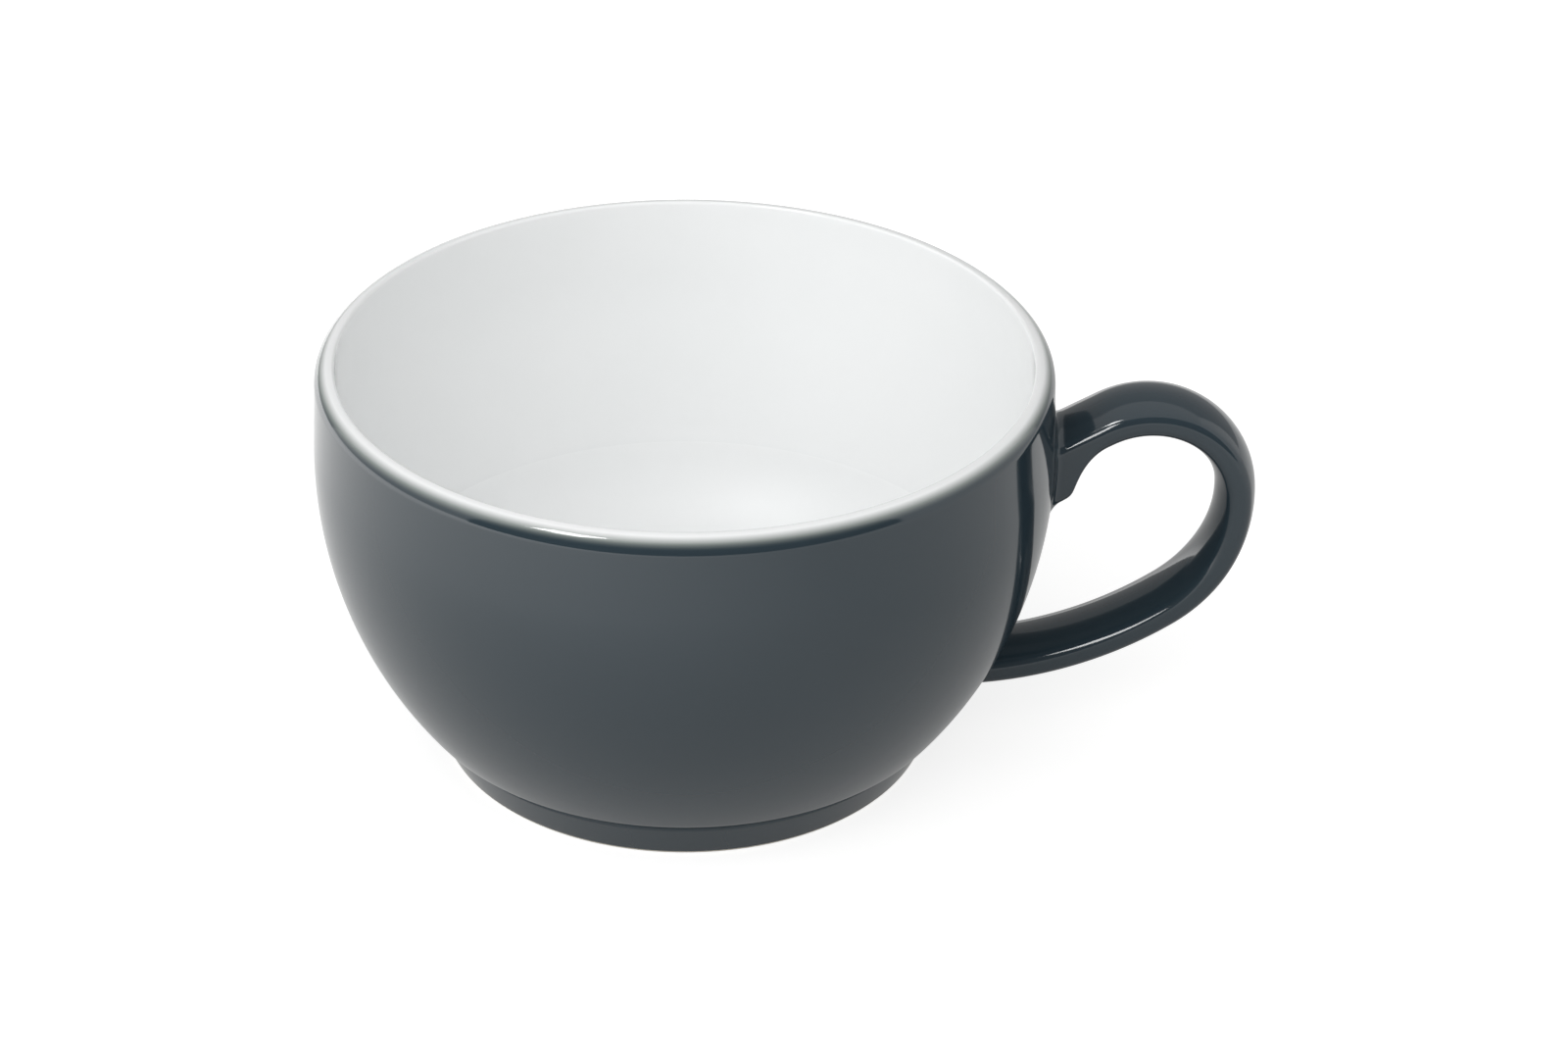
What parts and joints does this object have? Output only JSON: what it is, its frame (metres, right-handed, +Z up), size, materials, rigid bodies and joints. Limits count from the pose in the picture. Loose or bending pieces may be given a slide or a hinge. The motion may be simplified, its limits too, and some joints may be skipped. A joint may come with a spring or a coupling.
{
  "type": "cappuccino cup",
  "caption": "Wide glazed porcelain cup with a turned foot ring and a cast loop handle, white inside and slate grey outside, for milk coffee drinks.",
  "frame": {"origin": "on the table, at the middle of the foot ring", "axes": "+Z up out of the cup, +X towards the handle, Y across the handle's plane"},
  "size_m": [0.1341, 0.105, 0.0606],
  "materials": {
    "bisque_porcelain": "matt, fine",
    "joining_slip": "matt, sealed in the joint",
    "white_glaze": "gloss",
    "slate_glaze": "gloss"
  },
  "bodies": {
    "root": {"bowl": "bisque_porcelain", "foot_ring": "bisque_porcelain", "handle": "bisque_porcelain", "upper_slip_joint": "joining_slip", "lower_slip_joint": "joining_slip", "inner_glaze": "white_glaze", "outer_glaze": "slate_glaze", "foot_glaze": "slate_glaze", "handle_glaze": "slate_glaze", "underside_glaze": "white_glaze"}
  },
  "joints": []
}
